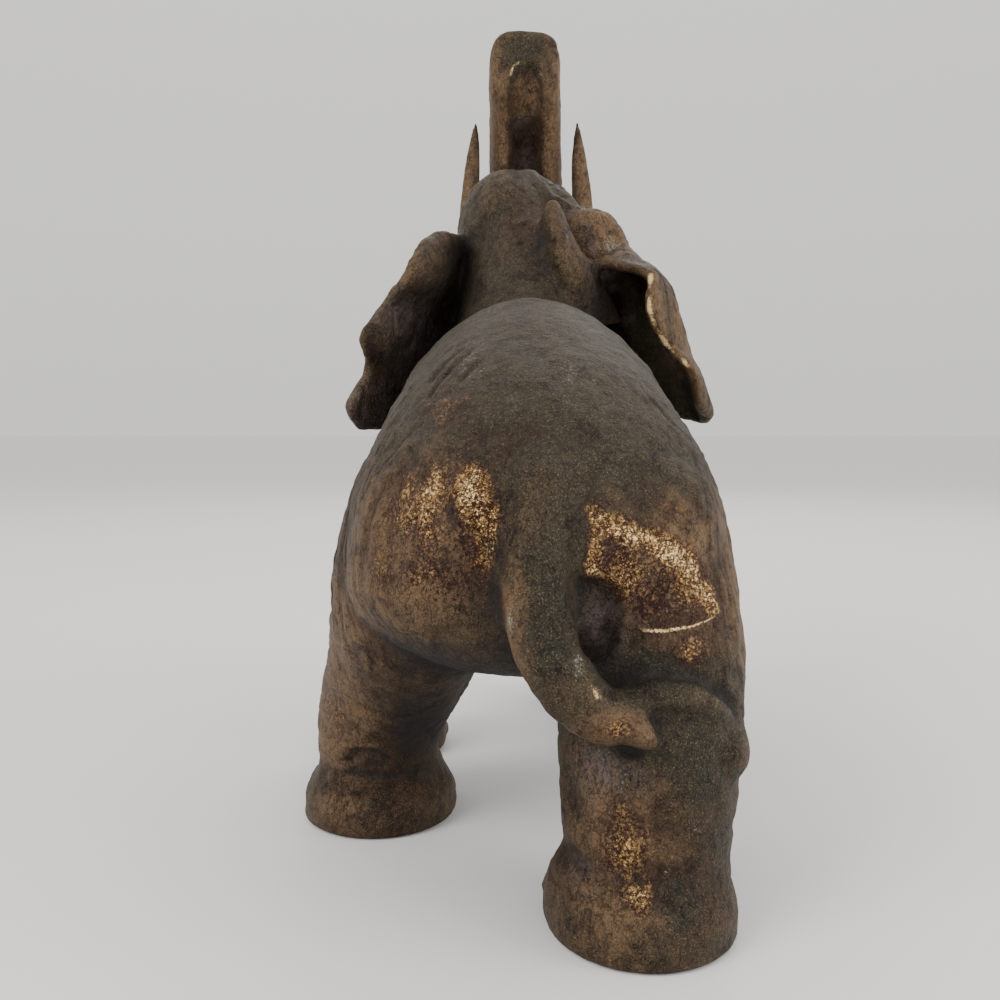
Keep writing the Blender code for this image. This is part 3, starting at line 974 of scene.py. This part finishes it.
class Shader:
    """A material's node tree around one Principled shader."""

    def __init__(self, name):
        self.material = bpy.data.materials.new(name)
        self.material.use_nodes = True
        self.tree = self.material.node_tree
        self.surface = self.tree.nodes["Principled BSDF"]
        self.place = self.node("TexCoord", output="Object")

    def node(self, kind, settings=(), inputs=(), output=0):
        """Adds a node, gives it its settings and feeds its sockets."""
        made = self.tree.nodes.new("ShaderNode" + kind)
        for key, value in dict(settings).items():
            setattr(made, key, value)
        self.feed(made, inputs)
        return Flow(self, made.outputs[output])

    def feed(self, made, inputs):
        """Links the flows to a node's sockets and sets the plain values."""
        for key, value in dict(inputs).items():
            if isinstance(value, Flow):
                self.tree.links.new(value.socket, made.inputs[key])
            else:
                made.inputs[key].default_value = value

    def attribute(self, name):
        return self.node("Attribute", {"attribute_name": name}, output="Fac")

    def noise(self, size, detail=2.0, roughness=0.5, stretch=(1, 1, 1)):
        """Noise from 0 to 1 whose lumps are about size millimetres across."""
        place = self.place
        if stretch != (1, 1, 1):
            place = self.node("Mapping", {}, {"Vector": self.place, "Scale": stretch})
        inputs = {"Vector": place, "Scale": 1 / (size * MM), "Detail": detail, "Roughness": roughness}
        return self.node("TexNoise", {}, inputs)

    def mix(self, mask, a, b):
        """Colour a where mask is 0 and colour b where it is 1."""
        return self.node("Mix", {"data_type": "RGBA"}, {0: mask, 6: a, 7: b}, output=2)


# The painted highlight along the fold of the right buttock: its lowest place (X, Z), its bend, and where it
# ends in X.
LIP_LOW = (-14.0, 35.45)
LIP_CURVE = 0.03
LIP_SPAN = (-20.6, -11.4)


def lip_highlight(shader, fleck):
    """A thin painted highlight along the fold of the right buttock."""
    place = shader.node("Mapping", {}, {"Vector": shader.place, "Scale": (1 / MM, 1 / MM, 1 / MM)})
    x, y, z = (shader.node("SeparateXYZ", {}, {0: place}, output=axis) for axis in "XYZ")
    across = x - LIP_LOW[0]
    above = z - across * across * LIP_CURVE - LIP_LOW[1]
    thin = (above.spread() + fleck * 0.5 - x.ramp(LIP_SPAN[0], LIP_SPAN[1]) * 0.14).ramp(0.36, 0.2)
    inside = x.ramp(LIP_SPAN[0], LIP_SPAN[0] + 1) * x.ramp(LIP_SPAN[1], LIP_SPAN[1] - 2)
    return thin * inside * fleck.ramp(0.62, 0.5) * y.ramp(44, 46)


def bronze(patina):
    """Cast bronze: olive and brown patina, gold where it is rubbed, near black in the hollows, with painted
    shade, painted highlights and painted fill light.
    """
    shader = Shader("patinated_bronze")
    rubbed, glint, pitted, warm, crest, hollow, dirt, brown, green, plum, chalk = (
        shader.attribute(name)
        for name in "rubbed glint pitted warm crest hollow dirt brown green plum chalk".split()
    )

    cloud = shader.noise(6.0, 3, 0.6)
    grit = shader.noise(0.55, 3, 0.65)
    pore = shader.noise(0.75, 4, 0.7)
    pits = shader.noise(0.45, 3, 0.75)
    brushed = shader.noise(1.6, 3, 0.6, stretch=(1, 1, 0.3))
    fleck = shader.noise(0.3, 3, 0.7)
    sand = shader.noise(0.2, 2, 0.7)
    crackle = (shader.noise(0.62, 3, 0.7) - 0.5).spread().ramp(0.088, 0.026)
    patchy = shader.noise(2.6, 4, 0.65)
    cracks = (shader.noise(1.5, 4, 0.62, stretch=(1, 1, 0.6)) - 0.5).spread().ramp(0.024, 0.004)

    # The patina's own colours, and the plum grey that also paints fill light into sheltered recesses
    colour = shader.mix((brown + cloud * 0.9 - 0.35).ramp(0.1, 0.75), patina.olive, patina.umber)
    colour = shader.mix((green + brushed * 0.5 - 0.25).ramp(0.25, 0.8), colour, patina.green)
    # Plum grey, partly painted fill light in the sheltered recesses
    colour = shader.mix((plum + patchy * 0.5 - 0.3).ramp(0.1, 0.8) * 0.85, colour, patina.plum)
    # Worn warm, with a painted highlight on the left hind leg's lit side; mottled darker and cracked, with
    # crumbs of metal
    worn = (warm * 1.1 + crest * 0.5 + brushed * 0.7 + grit * 0.4 - green * 0.5 - 0.77).ramp(0.0, 0.75)
    colour = shader.mix(worn, colour, patina.bronze)
    shade = brushed.ramp(0.5, 0.72) * 0.3 + pore.ramp(0.52, 0.68) * 0.3 + patchy.ramp(0.48, 0.68) * 0.5
    shade = (shade + sand.ramp(0.5, 0.64) * 0.5) * (1 - rubbed)
    colour = shader.mix(shade, colour, patina.hollow)
    colour = shader.mix(cracks * (0.25 + brown * 0.4), colour, patina.hollow)
    dust = (sand + warm * 0.1 + patchy * 0.12 - 0.1).ramp(0.4, 0.26)
    colour = shader.mix(dust * 0.5, colour, patina.speck)

    # Rubbed bare, with old patina left in the pores
    bare = (rubbed * 1.2 + crest * 0.2 + grit * 0.9 + brushed * 0.6 - 1.2).ramp(0.0, 0.5)
    colour = shader.mix(bare, colour, patina.gold)
    shine = (rubbed * 0.7 + crest * 0.3 + fleck * 2.2 + grit * 0.6 - 2.04).ramp(0.0, 0.13)
    colour = shader.mix(shine * rubbed.ramp(0.2, 0.85), colour, patina.bright)
    colour = shader.mix(crackle * rubbed.ramp(0.1, 0.4) * 0.9, colour, patina.maroon)
    holes = (pits * 1.6 + pore * 0.9 + pitted * 0.34 - 1.5).ramp(0.0, 0.16)
    colour = shader.mix(holes * pitted.ramp(0.1, 0.5) * 0.9, colour, patina.maroon)
    # Painted highlights along edges and the buttock's lip, partly worn bright edges; dust; and grime with
    # painted shade
    highlight_and_worn_edge = (glint * 1.4 + fleck * 0.8 - 0.75).ramp(0.0, 0.4) + lip_highlight(shader, fleck)
    colour = shader.mix(highlight_and_worn_edge, colour, patina.bright)
    dusty = (chalk * 0.7 + sand * 0.7 + fleck * 1.2 + pore * 0.6 - 1.8).ramp(0.0, 0.2)
    colour = shader.mix(dusty * 0.6, colour, patina.chalk)
    # Grime and dark patina in the hollows, with painted shade under the body, in the recesses and on the
    # shaded side of the left hind leg
    dirt_and_shade_mask = ((hollow + dirt) * 1.1 + pore * 0.6 + patchy * 0.3 - 0.5).ramp(0.1, 0.95)
    colour = shader.mix(dirt_and_shade_mask * (1 - highlight_and_worn_edge), colour, patina.hollow)

    metal = (0.75 + bare * 0.25) * (1 - dusty) * (1 - dirt_and_shade_mask * 0.6)
    rough = 0.5 - bare * 0.1 + holes * 0.15 + dirt_and_shade_mask * 0.2 + dusty * 0.3 + grit * 0.14
    bump_height = grit * 0.6 + pore * 0.5 + fleck * 0.3 + sand * 0.35 - holes * 0.3 - cracks * 0.3
    normal = shader.node("Bump", {}, {"Height": bump_height, "Strength": 1.0, "Distance": 0.36 * MM})
    shader.feed(
        shader.surface,
        {"Base Color": colour, "Metallic": metal, "Roughness": rough, "Normal": normal},
    )
    return shader.material


class ELEPHANT_OT_patina(bpy.types.Operator):
    """Patinate the casting"""

    bl_idname = "elephant.patina"
    bl_label = "Patina"

    def execute(self, context):
        casting = bpy.data.objects[CASTING]
        casting.data.materials.clear()
        casting.data.materials.append(bronze(context.scene.elephant_patina))
        return {"FINISHED"}


# Stage

CAMERA_PLACE = (3.5, 155.6, 57.0)
CAMERA_DIP = math.radians(4)
FLOOR_SIZE = 30
FLOOR_COLOUR = (0.74, 0.735, 0.72)
ROOM_TINT = (1, 0.978, 0.96, 1)
# Lights, in metres: place, aim and diameter.
LIGHTS = {
    "window": ((0.42, 0.34, 0.4), (0, 0.02, 0.05), 0.4),
    "lamp": ((-0.1, -0.5, 0.5), (0, 0, 0.03), 0.5),
    "wall": ((-0.5, 0.2, 0.22), (0, 0.02, 0.05), 0.4),
}


def plain_material(name, colour, roughness):
    shader = Shader(name)
    shader.feed(shader.surface, {"Base Color": (*colour, 1), "Roughness": roughness})
    return shader.material


def soft_light(name, place, aim, size, power):
    lamp = bpy.data.lights.new(name, "AREA")
    lamp.shape = "DISK"
    lamp.size = size
    lamp.energy = power
    made = bpy.data.objects.new(name, lamp)
    made.location = place
    made.rotation_euler = (Vector(aim) - Vector(place)).to_track_quat("-Z", "Y").to_euler()
    bpy.context.scene.collection.objects.link(made)


def pale_room(horizon, overhead):
    """A world that is as pale as the floor at the horizon and brighter overhead."""
    world = bpy.data.worlds.new("pale_room")
    world.use_nodes = True
    tree = world.node_tree
    place = tree.nodes.new("ShaderNodeTexCoord")
    split = tree.nodes.new("ShaderNodeSeparateXYZ")
    rise = tree.nodes.new("ShaderNodeMapRange")
    rise.inputs["To Min"].default_value = horizon
    rise.inputs["To Max"].default_value = overhead
    background = tree.nodes["Background"]
    background.inputs["Color"].default_value = ROOM_TINT
    tree.links.new(place.outputs["Generated"], split.inputs[0])
    tree.links.new(split.outputs["Z"], rise.inputs["Value"])
    tree.links.new(rise.outputs[0], background.inputs["Strength"])
    return world


class ELEPHANT_OT_stage(bpy.types.Operator):
    """Lay the floor and set up the camera and the lights"""

    bl_idname = "elephant.stage"
    bl_label = "Stage"

    def execute(self, context):
        stage = context.scene.elephant_stage
        deselect()
        bpy.ops.mesh.primitive_plane_add(size=FLOOR_SIZE)
        floor = context.active_object
        floor.name = "floor"
        floor.data.materials.append(plain_material("pale_floor", FLOOR_COLOUR, 0.9))
        powers = (stage.key_power, stage.rim_power, stage.wall_power)
        for (name, setting), power in zip(LIGHTS.items(), powers):
            soft_light(name, *setting, power)
        context.scene.world = pale_room(stage.room_light, stage.sky_light)

        lens = bpy.data.cameras.new("camera")
        lens.lens = stage.lens
        lens.sensor_width = 36
        lens.clip_start = 0.005
        lens.clip_end = 20
        camera = bpy.data.objects.new("camera", lens)
        camera.location = Vector(CAMERA_PLACE) * MM
        camera.rotation_euler = (math.pi / 2 - CAMERA_DIP, 0, math.pi)
        context.scene.collection.objects.link(camera)
        context.scene.camera = camera
        return {"FINISHED"}


class ELEPHANT_PT_panel(bpy.types.Panel):
    """Steps of the elephant's making"""

    bl_idname = "ELEPHANT_PT_panel"
    bl_label = "Bronze Elephant"
    bl_space_type = "VIEW_3D"
    bl_region_type = "UI"
    bl_category = "Elephant"

    def draw(self, context):
        steps = (
            ("elephant.casting", context.scene.elephant_wax),
            ("elephant.patina", context.scene.elephant_patina),
            ("elephant.stage", context.scene.elephant_stage),
        )
        for operator, settings in steps:
            box = self.layout.box()
            for key in settings.__annotations__:
                box.prop(settings, key)
            box.operator(operator)


CLASSES = (
    WaxSettings,
    PatinaSettings,
    StageSettings,
    ELEPHANT_OT_casting,
    ELEPHANT_OT_patina,
    ELEPHANT_OT_stage,
    ELEPHANT_PT_panel,
)


def register():
    for cls in CLASSES:
        bpy.utils.register_class(cls)
    bpy.types.Scene.elephant_wax = PointerProperty(type=WaxSettings)
    bpy.types.Scene.elephant_patina = PointerProperty(type=PatinaSettings)
    bpy.types.Scene.elephant_stage = PointerProperty(type=StageSettings)


def unregister():
    del bpy.types.Scene.elephant_stage
    del bpy.types.Scene.elephant_patina
    del bpy.types.Scene.elephant_wax
    for cls in reversed(CLASSES):
        bpy.utils.unregister_class(cls)


def main():
    register()
    bpy.ops.elephant.casting()
    bpy.ops.elephant.patina()
    bpy.ops.elephant.stage()


if __name__ == "__main__":
    main()
